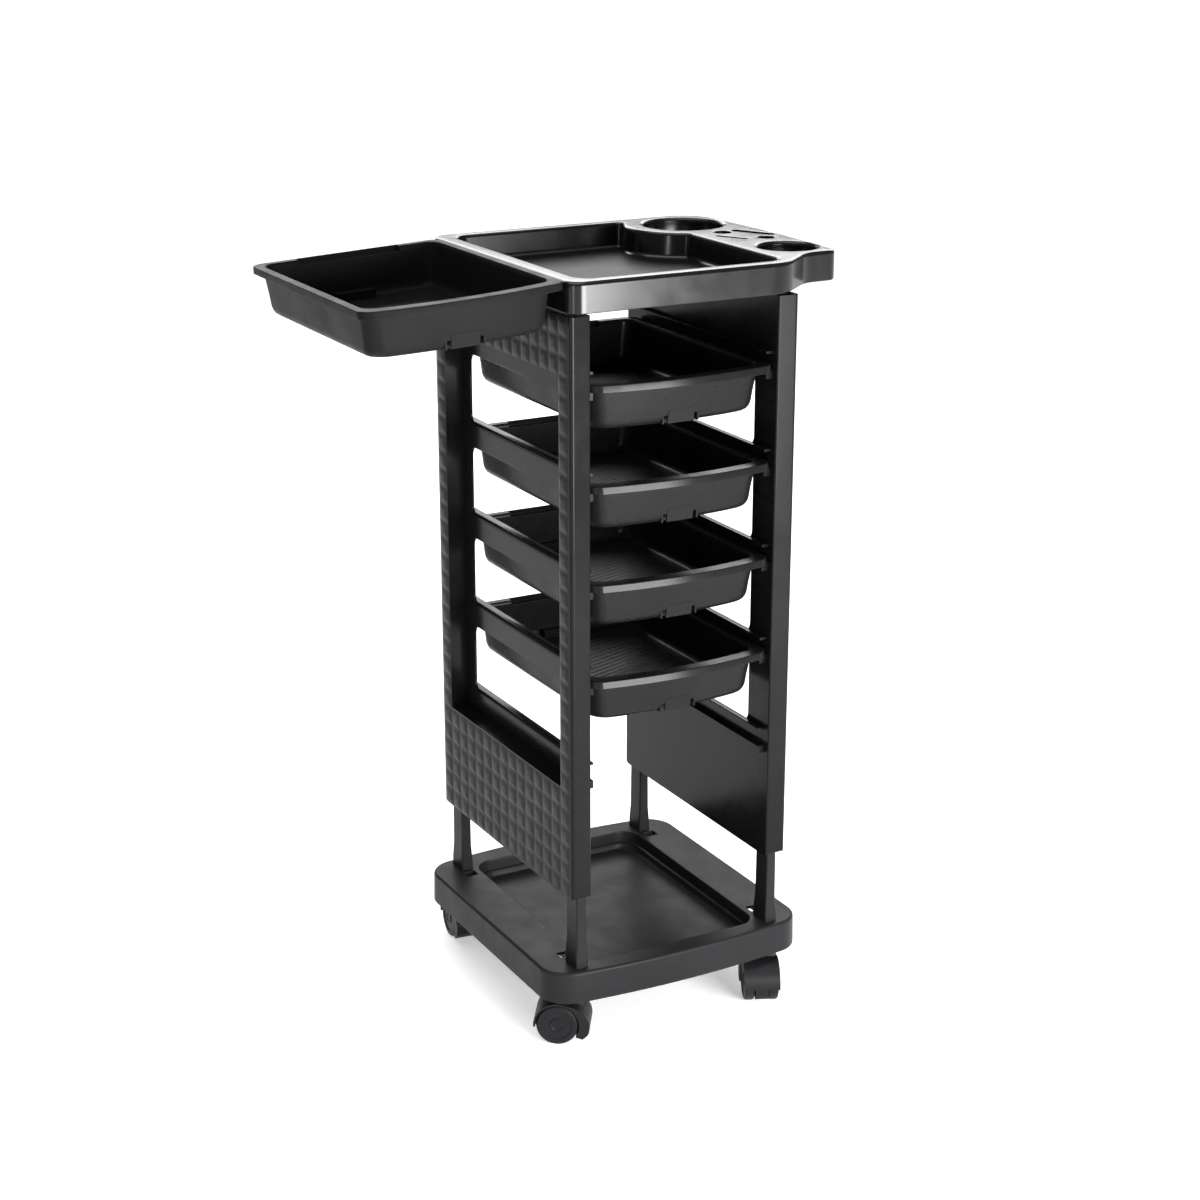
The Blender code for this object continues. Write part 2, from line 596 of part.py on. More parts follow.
def build_caster(label, side, end, heading, plastic, steel):
    """A twin-wheel caster: stem and grip ring in the base, hood with its axle, two wheels."""
    name = "caster_" + label
    corner = empty(name, (side * CASTER_X, end * CASTER_Y, 0), math.radians(heading))
    add(name + "_stem", cylinder(name + "_stem", 0, 0, STEM_RADIUS, STEM_BOTTOM_Z, STEM_TOP_Z, 12),
        steel, parent=corner)
    ring = add(name + "_grip_ring", cylinder(name + "_ring", 0, 0, GRIP_RADIUS, *GRIP_Z, 12),
               steel, parent=corner)
    bore = STEM_RADIUS + GAP
    shape(ring, "DIFFERENCE", [cylinder(name + "_ring_bore", 0, 0, bore, GRIP_Z[0] - 0.002,
                                        GRIP_Z[1] + 0.012, 12)])

    web = arc((TRAIL, WHEEL_RADIUS), HOOD_RADIUS - 0.0012, math.radians(-38), math.radians(218), 18)
    hood = add(name + "_hood", prism(name + "_web", web, -WEB_HALF_WIDTH, WEB_HALF_WIDTH, "Y"),
               plastic, parent=corner)
    shape(hood, "UNION", [prism(name + "_shell", hood_side(), -HOOD_HALF_WIDTH, HOOD_HALF_WIDTH,
                                "Y"),
                          cylinder(name + "_hood_boss", 0, 0, BOSS_RADIUS, 0.030, BOSS_TOP_Z, 16)])
    hole = AXLE_RADIUS + GAP
    axle_bore = [(0, -0.03), (hole, -0.03), (hole, 0.03), (0, 0.03)]
    axle_mesh = turned(name + "_axle_bore", axle_bore, 12)
    axle_mesh.transform(Matrix.Translation((TRAIL, 0, WHEEL_RADIUS)))
    shape(hood, "DIFFERENCE", [cylinder(name + "_stem_bore", 0, 0, bore, STEM_BOTTOM_Z - GAP,
                                        0.060, 12), axle_mesh])
    axle = [(0, -AXLE_HALF), (AXLE_RADIUS, -AXLE_HALF), (AXLE_RADIUS, AXLE_HALF), (0, AXLE_HALF)]
    add(name + "_axle", turned(name + "_axle", axle, 12), steel, (TRAIL, 0, WHEEL_RADIUS), corner)
    half = [(0, WHEEL_OUTER - 0.0007), (0.0150, WHEEL_OUTER), (0.0205, WHEEL_OUTER),
            (0.0232, WHEEL_OUTER - 0.0018), (WHEEL_RADIUS, WHEEL_OUTER - 0.0045),
            (WHEEL_RADIUS, WHEEL_INNER + 0.0015), (0.0230, WHEEL_INNER), (hole, WHEEL_INNER),
            (hole, AXLE_HALF + 0.0004), (0, AXLE_HALF + 0.0004)]
    for hand, sign in (("left", 1), ("right", -1)):
        profile = [(radius, sign * y) for radius, y in half]
        add(f"{name}_wheel_{hand}", turned(f"{name}_{hand}", profile, 28), plastic,
            (TRAIL, 0, WHEEL_RADIUS), corner)


# ---- The trolley ----------------------------------------------------------------------------
def main():
    for old in list(bpy.data.objects):
        bpy.data.objects.remove(old)
    satin = material("satin_black", (0.045, 0.045, 0.048), 0.38)
    quilted = material("panel_black", (0.055, 0.055, 0.060), 0.45)
    tray_black = material("tray_black", (0.040, 0.040, 0.043), 0.42)
    wheel_black = material("wheel_black", (0.025, 0.026, 0.028), 0.50)
    steel = material("bright_steel", (0.60, 0.60, 0.60), 0.30, 1.0)
    build_top(satin)
    build_side_panel("side_panel_left", -1, quilted)
    build_side_panel("side_panel_right", 1, quilted)
    build_base(satin)
    build_trays(tray_black)
    for label, (side, end, heading) in CASTERS.items():
        build_leg("leg_" + label, side, end, satin)
        build_caster(label, side, end, heading, wheel_black, steel)


main()
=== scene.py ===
"""Looks of the rolling salon trolley: finer meshes that stand for the CAD solids, moulded plastic
materials, a pale studio and the camera.

Sizes are metres about the middle of the frame, as in the CAD source; every piece is placed with
the frame's own position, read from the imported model.
"""
import json
import math

import bmesh
import bpy
from mathutils import Matrix, Vector


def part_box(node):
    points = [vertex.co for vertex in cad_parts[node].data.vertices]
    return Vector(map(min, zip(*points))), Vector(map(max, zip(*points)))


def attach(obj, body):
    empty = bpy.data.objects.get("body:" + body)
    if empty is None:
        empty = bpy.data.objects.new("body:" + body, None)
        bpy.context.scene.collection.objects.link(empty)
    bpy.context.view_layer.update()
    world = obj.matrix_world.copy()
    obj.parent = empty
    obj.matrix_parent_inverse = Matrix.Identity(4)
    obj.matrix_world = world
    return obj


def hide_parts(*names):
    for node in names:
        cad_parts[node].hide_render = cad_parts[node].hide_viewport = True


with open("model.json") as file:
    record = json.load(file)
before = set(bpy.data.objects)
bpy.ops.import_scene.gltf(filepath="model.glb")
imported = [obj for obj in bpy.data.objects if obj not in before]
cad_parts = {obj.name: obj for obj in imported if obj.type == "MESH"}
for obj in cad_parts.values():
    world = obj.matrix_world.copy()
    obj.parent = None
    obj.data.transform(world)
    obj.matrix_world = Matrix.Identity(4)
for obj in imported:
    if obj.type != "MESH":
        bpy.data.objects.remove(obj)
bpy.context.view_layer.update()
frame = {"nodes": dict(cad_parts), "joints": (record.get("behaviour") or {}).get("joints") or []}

# ---- Places read from the frame -------------------------------------------------------------
LEFT_LOW, LEFT_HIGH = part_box("side_panel_left")
RIGHT_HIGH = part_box("side_panel_right")[1]
MIDDLE = Vector(((LEFT_LOW[0] + RIGHT_HIGH[0]) / 2, (LEFT_LOW[1] + LEFT_HIGH[1]) / 2, 0))

# ---- Driving dimensions, as in the CAD ------------------------------------------------------
TOP_Z = 0.870
SKIRT_BOTTOM = 0.837
WALL = 0.0025
TOP_LEFT = -0.1395
TOP_FRONT = -0.170
TOP_BACK = 0.176
WING_RIGHT = 0.2155
WING_BOW = 0.004
WING_FRONT = -0.1275
RECESS = (-0.118, 0.128, -0.151, 0.158)     # left, right, front, back
RECESS_FLOOR = 0.842
BIG_HOLE = (0.1575, 0.112, 0.047)
SMALL_HOLE = (0.1790, -0.079, 0.033)
BULGE_RADIUS = 0.070
TOOL_HOLES = ((0.1665, 0.0375, 0.010), (0.1910, -0.0165, 0.010))
COMB_SLOT = (0.1565, 0.0010, 0.0030, 0.021)
SCISSOR_SLOT = (0.1970, 0.0210, 0.0055, 0.028)
SLOT_TURN = math.radians(28)

SIDE_OUTER = RIGHT_HIGH[0] - MIDDLE.x
SIDE_END = LEFT_HIGH[1] - MIDDLE.y
STILE_INNER = SIDE_OUTER - 0.0239
PLATE_INNER = STILE_INNER - 0.0025
PANEL_LOW = LEFT_LOW[2]
STILE_TOP = 0.834
WINDOW_END = 0.140
WINDOW_LOW = 0.3105
WINDOW_HIGH = 0.771
OPENING_END = 0.1205
RUNNER_TOPS = [0.7729 - 0.1086 * i for i in range(5)]
RUNNER_HEIGHT = 0.0305
RUNNER_INNER = 0.1060
RUNNER_END = 0.155
TRAY_DROP = 0.0135
TRAY_LIP = 0.008
QUILT_COLUMNS = 15
QUILT_ROWS = 31
QUILT_DEPTH = 0.0017
QUILT_PROUD = 0.00008
QUILT_MARGIN = 0.0055
QUILT_SLOPE = 0.27        # share of a cell that its sloping edge takes
RIB_PITCH = 0.0085
RIB_TURN = math.radians(18.5)
RIB_HALF = 0.0021
RIB_HIGH = 0.0004
RIB_SUNK = 0.0002

TRAY_HALF_WIDTH = 0.1125
TRAY_FRONT = -0.163
TRAY_BACK = 0.147
TRAY_BOW = 0.012
TRAY_DEPTH = 0.0530
TRAY_RIM_WALL = 0.002
TRAY_COUNT = 4
SIDE_TRAY_SAG = math.radians(3.0)
FINGER_HALF = 0.060
FINGER_DIP = 0.0060
POCKET_HALF = 0.0205
POCKET_DEPTH = 0.0120
POCKET_TOP = -0.0430
TAB_HALF = 0.0160
TAB_LOW = -0.0520
TAB_WALLS = (("front", -0.1567, 0.0020, 1), ("back", 0.1370, 0.0010, -1))

LEG_OUTER = 0.1305
LEG_END = 0.1617
LEG_SIZE = (0.012, 0.025)
BASE_TOP = 0.097
BASE_LOW = 0.060
BASE_FLOOR = 0.0755
BASE_WIDE = 0.1655
BASE_DEEP = 0.168
BASE_BOW = 0.012
SUNK_HALF = 0.111
SUNK_FRONT = -0.153
SUNK_BACK = 0.148
LEG_GAP = 0.0019
BLOCK_X = (0.1115, 0.1345)
BLOCK_Y = (0.1320, 0.1662)
SLOT_X = (0.1185, 0.1335)
SLOT_Y = (0.1165, 0.1300)
SLOT_DEPTH = 0.006
BORE_AT = (0.1215, 0.1420)
BORE_RADIUS = 0.0051

WHEEL_RADIUS = 0.024
WHEEL_INNER = 0.0088
WHEEL_OUTER = 0.0203
TRAIL = 0.020
HOOD_RADIUS = 0.0272
HOOD_INNER = 0.0250
HOOD_HALF_WIDTH = 0.021
CORNERS = {"front_left": (-1, -1), "front_right": (1, -1), "back_left": (-1, 1),
           "back_right": (1, 1)}

# ---- Camera ---------------------------------------------------------------------------------
CAMERA_PLACE = Vector((-1.2187, -2.2184, 1.2880))
CAMERA_AZIMUTH = math.radians(-28.512)
CAMERA_DOWN = math.radians(18.036)
CAMERA_LENS = 69.3

# ---- Studio ---------------------------------------------------------------------------------
FLOOR_HALF = 400
FLOOR_GLOW = 0.42
WORLD_STRENGTH = 0.20
SKY_STRENGTH = 2.2


# ---- Outlines -------------------------------------------------------------------------------
def arc(centre, radius, start, end, steps):
    """Points on an arc, from start to end in radians, both ends included."""
    angles = [start + (end - start) * i / steps for i in range(steps + 1)]
    return [(centre[0] + radius * math.cos(a), centre[1] + radius * math.sin(a)) for a in angles]


def rounded(corners, steps=10):
    """A closed outline from (x, y, radius) corners, each filleted with its radius."""
    outline = []
    for i, (x, y, radius) in enumerate(corners):
        corner = Vector((x, y))
        if radius == 0:
            outline.append((x, y))
            continue
        to_last = (Vector(corners[i - 1][:2]) - corner).normalized()
        to_next = (Vector(corners[(i + 1) % len(corners)][:2]) - corner).normalized()
        half = to_last.angle(to_next) / 2
        centre = corner + (to_last + to_next).normalized() * (radius / math.sin(half))
        first = corner + to_last * (radius / math.tan(half)) - centre
        last = corner + to_next * (radius / math.tan(half)) - centre
        start = math.atan2(first.y, first.x)
        turn = math.atan2(last.y, last.x) - start
        turn = (turn + math.pi) % (2 * math.pi) - math.pi
        outline += arc(centre, radius, start, start + turn, steps)
    return outline


def rectangle(x0, x1, y0, y1, radius=0.0, steps=8):
    """A rounded rectangle, anticlockwise."""
    return rounded([(x0, y0, radius), (x1, y0, radius), (x1, y1, radius), (x0, y1, radius)], steps)


def grown(outline, distance):
    """An anticlockwise outline moved outwards by a distance."""
    moved = []
    for i, point in enumerate(outline):
        here = Vector(point)
        before = (here - Vector(outline[i - 1])).normalized()
        after = (Vector(outline[(i + 1) % len(outline)]) - here).normalized()
        n0, n1 = Vector((before.y, -before.x)), Vector((after.y, -after.x))
        mitre = (n0 + n1) / max(0.3, 1 + n0.dot(n1))
        moved.append(tuple(here + mitre * distance))
    return moved


def tub_ring(half_width, front, back, radius, z, bow=0.0, back_bow=0.0, steps=8, side_points=11):
    """A rounded rectangle whose front and back edges may be bowed outwards, as 3-D points."""
    corners = rectangle(-half_width, half_width, front, back, radius, steps)
    per_corner = steps + 1
    points = []
    for corner in range(4):
        points += corners[corner * per_corner:(corner + 1) * per_corner]
        start = corners[(corner + 1) * per_corner - 1]
        end = corners[((corner + 1) * per_corner) % len(corners)]
        for i in range(1, side_points + 1):
            share = i / (side_points + 1)
            points.append((start[0] + (end[0] - start[0]) * share,
                           start[1] + (end[1] - start[1]) * share))
    middle = (front + back) / 2
    ring = []
    for x, y in points:
        crown = 1 - (x / half_width) ** 2
        if y < middle:
            y -= bow * crown * (middle - y) / (middle - front)
        else:
            y += back_bow * crown * (y - middle) / (back - middle)
        ring.append((x, y, z))
    return ring


# ---- Meshes ---------------------------------------------------------------------------------
def to_mesh(name, bm, outward=True):
    """A mesh from a bmesh, its faces turned to point out."""
    if outward:
        bmesh.ops.recalc_face_normals(bm, faces=bm.faces)
    mesh = bpy.data.meshes.new(name)
    bm.to_mesh(mesh)
    bm.free()
    return mesh


def skin(bm, loops):
    """Quads between neighbouring loops of vertices."""
    for lower, upper in zip(loops, loops[1:]):
        for i in range(len(lower)):
            j = (i + 1) % len(lower)
            bm.faces.new((lower[i], lower[j], upper[j], upper[i]))


def loft(name, rings):
    """Skin through rings of equal length, closed by a flat face at each end."""
    bm = bmesh.new()
    loops = [[bm.verts.new(point) for point in ring] for ring in rings]
    skin(bm, loops)
    bm.faces.new(loops[0])
    bm.faces.new(loops[-1])
    return to_mesh(name, bm)


def prism(name, outline, low, high, axis="Z"):
    """An outline in the plane across an axis, extruded from low to high along it."""
    if axis == "Z":
        rings = [[(a, b, h) for a, b in outline] for h in (low, high)]
    elif axis == "Y":
        rings = [[(a, h, b) for a, b in outline] for h in (low, high)]
    else:
        rings = [[(h, a, b) for a, b in outline] for h in (low, high)]
    return loft(name, rings)


def box(name, x0, x1, y0, y1, z0, z1):
    """A box between two corners."""
    x0, x1 = sorted((x0, x1))
    y0, y1 = sorted((y0, y1))
    return prism(name, [(x0, y0), (x1, y0), (x1, y1), (x0, y1)], z0, z1)


def cylinder(name, x, y, radius, z0, z1, steps=64):
    """An upright round bar."""
    return prism(name, arc((x, y), radius, 0, 2 * math.pi, steps)[:-1], z0, z1)


def turned(name, profile, steps=72):
    """A solid of revolution about the local Y axis, from (radius, y) points; its first and last
    points lie on the axis."""
    bm = bmesh.new()
    ends = [bm.verts.new((0, profile[0][1], 0)), bm.verts.new((0, profile[-1][1], 0))]
    loops = []
    for radius, y in profile[1:-1]:
        loops.append([bm.verts.new((a, y, b)) for a, b in
                      arc((0, 0), radius, 0, 2 * math.pi, steps)[:-1]])
    skin(bm, loops)
    for i in range(steps):
        j = (i + 1) % steps
        bm.faces.new((ends[0], loops[0][j], loops[0][i]))
        bm.faces.new((ends[1], loops[-1][i], loops[-1][j]))
    return to_mesh(name, bm)


def ribs(bm, outline, z):
    """Fine parallel ridges on a floor, each clipped to the floor's outline."""
    along = Vector((math.cos(RIB_TURN), math.sin(RIB_TURN)))
    across = Vector((-along.y, along.x))
    points = [Vector(point) for point in outline]
    shares = [point.dot(across) for point in points]
    for row in range(math.ceil(min(shares) / RIB_PITCH), math.ceil(max(shares) / RIB_PITCH)):
        hits = []
        for i, point in enumerate(points):
            before, after = shares[i - 1] - row * RIB_PITCH, shares[i] - row * RIB_PITCH
            if (before < 0) != (after < 0):
                hits.append(points[i - 1].lerp(point, before / (before - after)).dot(along))
        hits.sort()
        for start, stop in zip(hits[::2], hits[1::2]):
            if stop - start < 4 * RIB_HALF:
                continue
            ends = []
            for at, crest in ((start, start + RIB_HALF), (stop, stop - RIB_HALF)):
                spots = [(at, -RIB_HALF, -RIB_SUNK), (crest, 0.0, RIB_HIGH),
                         (at, RIB_HALF, -RIB_SUNK)]
                ends.append([bm.verts.new((*(along * a + across * (row * RIB_PITCH + b)), z + c))
                             for a, b, c in spots])
            near, far = ends
            faces = [bm.faces.new(near), bm.faces.new(far[::-1])]
            for i in range(3):
                faces.append(bm.faces.new((near[i - 1], near[i], far[i], far[i - 1])))
            bmesh.ops.recalc_face_normals(bm, faces=faces)
            for face in faces:
                face.material_index = 1


def piece(name, mesh, materials, body, *nodes, place=None, slot=None):
    """Add a finished mesh as a piece that rides on a body and stands for CAD nodes."""
    mesh = flattened(mesh)
    for finish in materials:
        mesh.materials.append(finish)
    made = bpy.data.objects.new(name, mesh)
    bpy.context.scene.collection.objects.link(made)
    made.matrix_world = Matrix.Translation(MIDDLE) if place is None else place
    bpy.context.view_layer.update()
    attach(made, body)
    if nodes:
        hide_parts(*nodes)


def solved(name, mesh, steps, bevel=0.0, segments=2, sharp=32.0):
    """Apply Booleans, given as (operation, mesh) pairs, and an edge bevel, and return the mesh."""
    scene = bpy.context.scene.collection
    raw = bpy.data.objects.new(name + "_raw", mesh)
    scene.objects.link(raw)
    helpers = []
    for operation, other in steps:
        helper = bpy.data.objects.new(other.name, other)
        scene.objects.link(helper)
        helpers.append(helper)
        step = raw.modifiers.new(other.name, "BOOLEAN")
        step.operation = operation
        step.solver = "EXACT"
        step.object = helper
    if bevel:
        edge = raw.modifiers.new("edges", "BEVEL")
        edge.width = bevel
        edge.segments = segments
        edge.limit_method = "ANGLE"
        edge.angle_limit = math.radians(sharp)
        edge.miter_outer = "MITER_ARC"
    graph = bpy.context.evaluated_depsgraph_get()
    made = bpy.data.meshes.new_from_object(raw.evaluated_get(graph))
    made.name = name
    for spare in [raw] + helpers:
        bpy.data.objects.remove(spare)
    smooth(made, 40.0)
    return made


def smooth(mesh, angle=35.0):
    """Shade a mesh smooth, with sharp edges where it turns by more than an angle."""
    mesh.shade_smooth()
    mesh.set_sharp_from_angle(angle=math.radians(angle))


def flattened(mesh):
    """The same mesh with its normals weighted by area, so that wide faces shade flat."""
    carrier = bpy.data.objects.new(mesh.name + "_carrier", mesh)
    bpy.context.scene.collection.objects.link(carrier)
    weigh = carrier.modifiers.new("weigh", "WEIGHTED_NORMAL")
    weigh.keep_sharp = True
    weigh.weight = 90
    graph = bpy.context.evaluated_depsgraph_get()
    made = bpy.data.meshes.new_from_object(carrier.evaluated_get(graph))
    made.name = mesh.name
    bpy.data.objects.remove(carrier)
    return made


# ---- Materials ------------------------------------------------------------------------------
def plastic(name, dark, light, rough_low, rough_high, grain, bump, shine):
    """Moulded plastic: a faint drift in colour, uneven gloss, and a fine moulded grain."""
    made = bpy.data.materials.new(name)
    made.use_nodes = True
    tree = made.node_tree
    shader = tree.nodes["Principled BSDF"]
    shader.inputs["Specular IOR Level"].default_value = shine
    where = tree.nodes.new("ShaderNodeTexCoord")
    drift = tree.nodes.new("ShaderNodeTexNoise")
    drift.inputs["Scale"].default_value = 7.0
    drift.inputs["Detail"].default_value = 4.0
    colour = tree.nodes.new("ShaderNodeValToRGB")
    colour.color_ramp.elements[0].position = 0.35
    colour.color_ramp.elements[0].color = (*dark, 1)
    colour.color_ramp.elements[1].position = 0.70
    colour.color_ramp.elements[1].color = (*light, 1)
    smear = tree.nodes.new("ShaderNodeTexNoise")
    smear.inputs["Scale"].default_value = 35.0
    smear.inputs["Detail"].default_value = 6.0
    gloss = tree.nodes.new("ShaderNodeMapRange")
    gloss.inputs["From Min"].default_value = 0.3
    gloss.inputs["From Max"].default_value = 0.7
    gloss.inputs["To Min"].default_value = rough_low
    gloss.inputs["To Max"].default_value = rough_high
    pores = tree.nodes.new("ShaderNodeTexNoise")
    pores.inputs["Scale"].default_value = grain
    pores.inputs["Detail"].default_value = 2.0
    relief = tree.nodes.new("ShaderNodeBump")
    relief.inputs["Strength"].default_value = bump
    relief.inputs["Distance"].default_value = 0.0004
    link = tree.links.new
    for texture in (drift, smear, pores):
        link(where.outputs["Object"], texture.inputs["Vector"])
    link(drift.outputs["Fac"], colour.inputs["Fac"])
    link(colour.outputs["Color"], shader.inputs["Base Color"])
    link(smear.outputs["Fac"], gloss.inputs["Value"])
    link(gloss.outputs["Result"], shader.inputs["Roughness"])
    link(pores.outputs["Fac"], relief.inputs["Height"])
    link(relief.outputs["Normal"], shader.inputs["Normal"])
    return made


def steel(name):
    """Zinc-plated steel with a fine brushed unevenness."""
    made = plastic(name, (0.50, 0.50, 0.50), (0.62, 0.62, 0.61), 0.22, 0.38, 500.0, 0.05, 0.5)
    made.node_tree.nodes["Principled BSDF"].inputs["Metallic"].default_value = 1.0
    return made


POLISHED = plastic("polished_black", (0.0028, 0.0028, 0.0031), (0.0042, 0.0042, 0.0046), 0.15,
                   0.22, 700.0, 0.03, 0.40)
SHEET = plastic("ribbed_sheet_black", (0.0050, 0.0050, 0.0055), (0.0075, 0.0075, 0.0080), 0.32,
                0.36, 700.0, 0.0, 0.03)
GLOSSY = plastic("gloss_black", (0.0050, 0.0050, 0.0054), (0.0070, 0.0070, 0.0076), 0.17, 0.25,
                 700.0, 0.03, 0.10)
SATIN = plastic("satin_black", (0.0095, 0.0095, 0.0103), (0.0130, 0.0130, 0.0140), 0.36, 0.46,
                900.0, 0.10, 0.10)
QUILT = plastic("quilted_black", (0.015, 0.0145, 0.0170), (0.021, 0.0203, 0.0235), 0.34, 0.44,
                900.0, 0.08, 0.09)
TRAY = plastic("tray_black", (0.0075, 0.0075, 0.0079), (0.0100, 0.0100, 0.0106), 0.24, 0.34,
               800.0, 0.05, 0.09)
RIBBED = plastic("ribbed_black", (0.0065, 0.0065, 0.0069), (0.0090, 0.0090, 0.0096), 0.34, 0.42,
                 800.0, 0.03, 0.05)
MATTE = plastic("matte_black", (0.0085, 0.0085, 0.0090), (0.0115, 0.0115, 0.0121), 0.34, 0.44,
                800.0, 0.05, 0.035)
LIP = plastic("lip_black", (0.0075, 0.0075, 0.0079), (0.0100, 0.0100, 0.0106), 0.16, 0.22, 800.0,
              0.03, 0.14)
WHEEL = plastic("wheel_black", (0.006, 0.0062, 0.0069), (0.010, 0.0104, 0.0115), 0.40, 0.52,
                600.0, 0.10, 0.14)
STEEL = steel("plated_steel")


# ---- Top ------------------------------------------------------------------------------------
def top_outline():
    """The top seen from above: straight front, an S-curve to the wing, a bowed right side."""
    corners = [(TOP_LEFT, TOP_FRONT, 0.018), (0.122, TOP_FRONT, 0.050),
               (0.172, WING_FRONT, 0.040), (WING_RIGHT, WING_FRONT, 0.014)]
    low, high = -0.095, 0.105
    for i in range(13):
        share = i / 12
        crown = 1 - (2 * share - 1) ** 2
        corners.append((WING_RIGHT + WING_BOW * crown, low + (high - low) * share, 0))
    corners += [(WING_RIGHT - 0.003, TOP_BACK, 0.045), (TOP_LEFT, TOP_BACK, 0.022)]
    return rounded(corners)


def recess_outline():
    """The recess of the top, with the wall that curves round the big hole."""
    left, right, front, back = RECESS
    x, y = BIG_HOLE[:2]
    radius = BULGE_RADIUS
    ease = 0.16
    first = math.atan2(-math.sqrt(radius ** 2 - (right - x) ** 2), right - x) + 2 * math.pi
    last = math.atan2(back - y, -math.sqrt(radius ** 2 - (back - y) ** 2))
    bulge = [(px, py, 0) for px, py in arc((x, y), radius, first - ease, last + ease, 22)]
    first_corner = (x + radius * math.cos(first), y + radius * math.sin(first), 0.008)
    last_corner = (x + radius * math.cos(last), y + radius * math.sin(last), 0.006)
    return rounded([(left, front, 0.018), (right, front, 0.018), first_corner] + bulge
                   + [last_corner, (left, back, 0.018)])


def capsule(x, y, half_width, half_length, turn):
    """A slot with round ends, along Y, turned about its own middle."""
    reach = half_length - half_width
    outline = (arc((0, -reach), half_width, math.pi, 2 * math.pi, 10)
               + arc((0, reach), half_width, 0, math.pi, 10))
    cos, sin = math.cos(turn), math.sin(turn)
    return [(x + a * cos - b * sin, y + a * sin + b * cos) for a, b in outline]


def edge_down(radius, steps=5):
    """A rounded edge as (outward, down) steps, from the flat to the vertical."""
    quarter = [math.radians(90) * i / steps for i in range(steps + 1)]
    return [(-radius + radius * math.sin(a), radius * (1 - math.cos(a))) for a in quarter]


def build_top():
    """The top as one moulded skin: flat rim, rounded edges, skirt, recess, holes and slots."""
    bm = bmesh.new()
    rims = []

    def strip(outline, profile):
        loops = []
        for distance, z in profile:
            loops.append([bm.verts.new((a, b, z)) for a, b in grown(outline, distance)])
        skin(bm, loops)
        rims.append(loops[0])
        return loops[-1]

    outer = [(d, TOP_Z - drop) for d, drop in edge_down(0.0045, 6)]
    strip(top_outline(), outer + [(0.0, SKIRT_BOTTOM + 0.0010), (-0.0008, SKIRT_BOTTOM),
                                  (-WALL, SKIRT_BOTTOM), (-WALL, TOP_Z - WALL)])
    into = [(-d, TOP_Z - drop) for d, drop in edge_down(0.0035)]
    foot = [(-0.0030 - 0.0045 * (1 - math.cos(a)), RECESS_FLOOR + 0.0045 * (1 - math.sin(a)))
            for a in (math.radians(15 * i) for i in range(7))]
    floor_loop = strip(recess_outline(), into + foot)
    for x, y, radius in (BIG_HOLE, SMALL_HOLE):
        circle = arc((x, y), radius, 0, 2 * math.pi, 96)[:-1]
        strip(circle, [(-d, TOP_Z - drop) for d, drop in edge_down(0.0045, 7)]
              + [(0.0, RECESS_FLOOR), (WALL, RECESS_FLOOR), (WALL, TOP_Z - WALL)])
    small = [arc((x, y), radius, 0, 2 * math.pi, 40)[:-1] for x, y, radius in TOOL_HOLES]
    small += [capsule(*COMB_SLOT, SLOT_TURN), capsule(*SCISSOR_SLOT, SLOT_TURN)]
    for outline in small:
        strip(outline, [(-d, TOP_Z - drop) for d, drop in edge_down(0.0012, 3)]
              + [(0.0, TOP_Z - WALL)])
    edges = []
    for rim in rims:
        for i, vertex in enumerate(rim):
            edges.append(bm.edges.get((vertex, rim[(i + 1) % len(rim)])))
    bmesh.ops.triangle_fill(bm, use_beauty=True, use_dissolve=False, edges=edges)
    floor = bm.faces.new(floor_loop)
    bmesh.ops.recalc_face_normals(bm, faces=bm.faces)
    if floor.normal.z < 0:
        bmesh.ops.reverse_faces(bm, faces=bm.faces)
    floor.material_index = 1
    ribs(bm, grown(recess_outline(), -0.0095), RECESS_FLOOR)
    mesh = to_mesh("top", bm, outward=False)
    smooth(mesh, 40)
    piece("top_moulding", mesh, [POLISHED, SHEET], "frame", "top_tray", slot="satin_black")


# ---- Side panels ----------------------------------------------------------------------------
def quilt_mesh(side):
    """The quilted relief of a side's outer face: pillowed cells round the window."""
    base = SIDE_OUTER - QUILT_DEPTH + QUILT_PROUD
    half = SIDE_END - QUILT_MARGIN
    low, high = PANEL_LOW + 0.0006, STILE_TOP - 0.0006
    fine = 8
    bm = bmesh.new()
    wide = 2 * half / QUILT_COLUMNS
    tall = (high - low) / QUILT_ROWS

    def rise(share):
        return min(1.0, min(share, 1 - share) / QUILT_SLOPE)

    for column in range(QUILT_COLUMNS):
        for row in range(QUILT_ROWS):
            middle = low + tall * (row + 0.5)
            if 0 < column < QUILT_COLUMNS - 1 and WINDOW_LOW < middle < WINDOW_HIGH:
                continue
            grid = []
            for i in range(fine + 1):
                line = []
                for j in range(fine + 1):
                    u, v = i / fine, j / fine
                    height = QUILT_DEPTH * min(rise(u), rise(v)) * (0.85 + 0.15 * rise(u) * rise(v))
                    line.append(bm.verts.new((side * (base + height),
                                              -half + wide * (column + u),
                                              low + tall * (row + v))))
                grid.append(line)
            for i in range(fine):
                for j in range(fine):
                    bm.faces.new((grid[i][j], grid[i + 1][j], grid[i + 1][j + 1], grid[i][j + 1]))
    bmesh.ops.remove_doubles(bm, verts=bm.verts, dist=0.00002)
    if side < 0:
        bmesh.ops.reverse_faces(bm, faces=bm.faces)
    mesh = to_mesh(f"quilt_{side}", bm, outward=False)
    smooth(mesh, 60)
    return mesh


